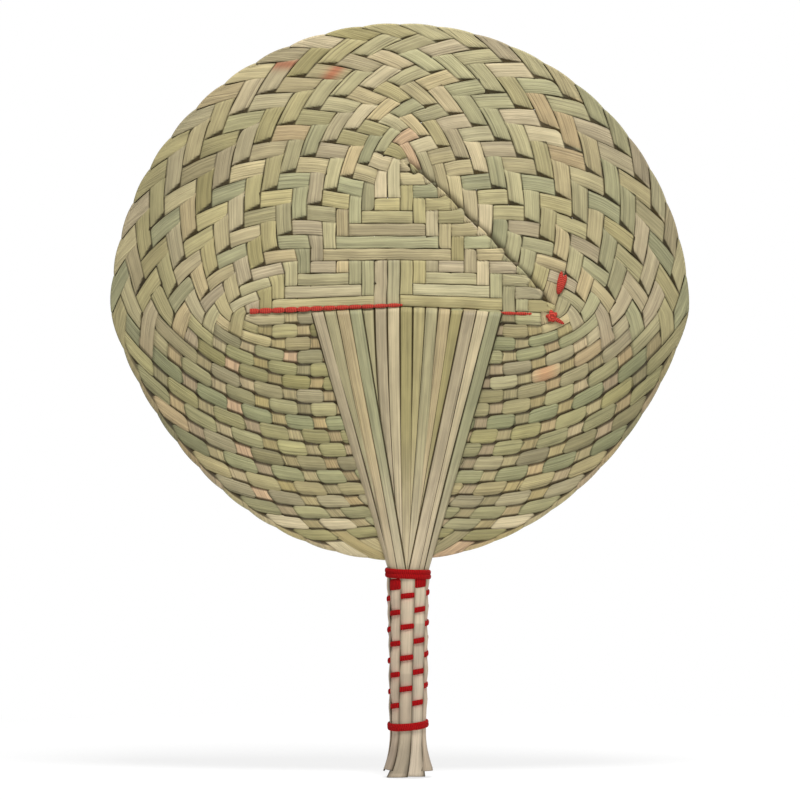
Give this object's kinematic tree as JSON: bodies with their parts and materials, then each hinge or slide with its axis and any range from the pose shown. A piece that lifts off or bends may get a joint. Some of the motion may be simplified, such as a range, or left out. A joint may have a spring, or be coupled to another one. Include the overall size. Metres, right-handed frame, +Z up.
{
  "type": "woven leaf fan",
  "caption": "Hand fan plaited from flat leaf strips in a stepped figure and twill, with ribs gathered into a handle that red yarn binds.",
  "frame": {"origin": "middle of the grip, on the handle's axis, where the hand holds it", "axes": "+Z up along the handle to the crown of the blade, -Y out of the front face, +X to the right seen from the front"},
  "size_m": [0.2886, 0.025, 0.3758],
  "materials": {
    "leaf_green": "matt dried leaf",
    "leaf_tan": "matt dried leaf",
    "leaf_olive": "matt dried leaf",
    "leaf_pale": "matt dried leaf",
    "leaf_core": "matt dried leaf",
    "yarn_red": "soft wool yarn"
  },
  "bodies": {
    "root": {"warp_left_01": "leaf_green", "warp_left_02": "leaf_green", "warp_left_03": "leaf_green", "warp_left_04": "leaf_green", "warp_left_05": "leaf_green", "warp_left_06": "leaf_green", "warp_left_07": "leaf_green", "warp_left_08": "leaf_green", "warp_left_09": "leaf_green", "warp_left_10": "leaf_green", "warp_left_11": "leaf_green", "warp_left_12": "leaf_green", "warp_right_01": "leaf_green", "warp_right_02": "leaf_green", "warp_right_03": "leaf_green", "warp_right_04": "leaf_green", "warp_right_05": "leaf_green", "warp_right_06": "leaf_green", "warp_right_07": "leaf_green", "warp_right_08": "leaf_green", "warp_right_09": "leaf_green", "warp_right_10": "leaf_green", "warp_right_11": "leaf_green", "warp_right_12": "leaf_green", "weft_01": "leaf_tan", "weft_02": "leaf_tan", "weft_03": "leaf_tan", "weft_04": "leaf_tan", "weft_05": "leaf_tan", "weft_06": "leaf_tan", "weft_07": "leaf_tan", "weft_08": "leaf_tan", "weft_09": "leaf_tan", "weft_10": "leaf_tan", "weft_11": "leaf_tan", "weft_12": "leaf_tan", "infill_left_01": "leaf_olive", "infill_left_02": "leaf_olive", "infill_left_03": "leaf_olive", "infill_right_01": "leaf_olive", "infill_right_02": "leaf_olive", "infill_right_03": "leaf_olive", "infill_right_04": "leaf_olive", "handle_stake_01": "leaf_pale", "handle_stake_02": "leaf_pale", "handle_stake_03": "leaf_pale", "handle_stake_04": "leaf_pale", "handle_stake_05": "leaf_pale", "handle_stake_06": "leaf_pale", "handle_stake_07": "leaf_pale", "handle_stake_08": "leaf_pale", "handle_stake_09": "leaf_pale", "handle_core": "leaf_core", "start_yarn": "yarn_red", "weaving_yarn": "yarn_red", "top_binding": "yarn_red", "bottom_binding": "yarn_red"}
  },
  "joints": []
}
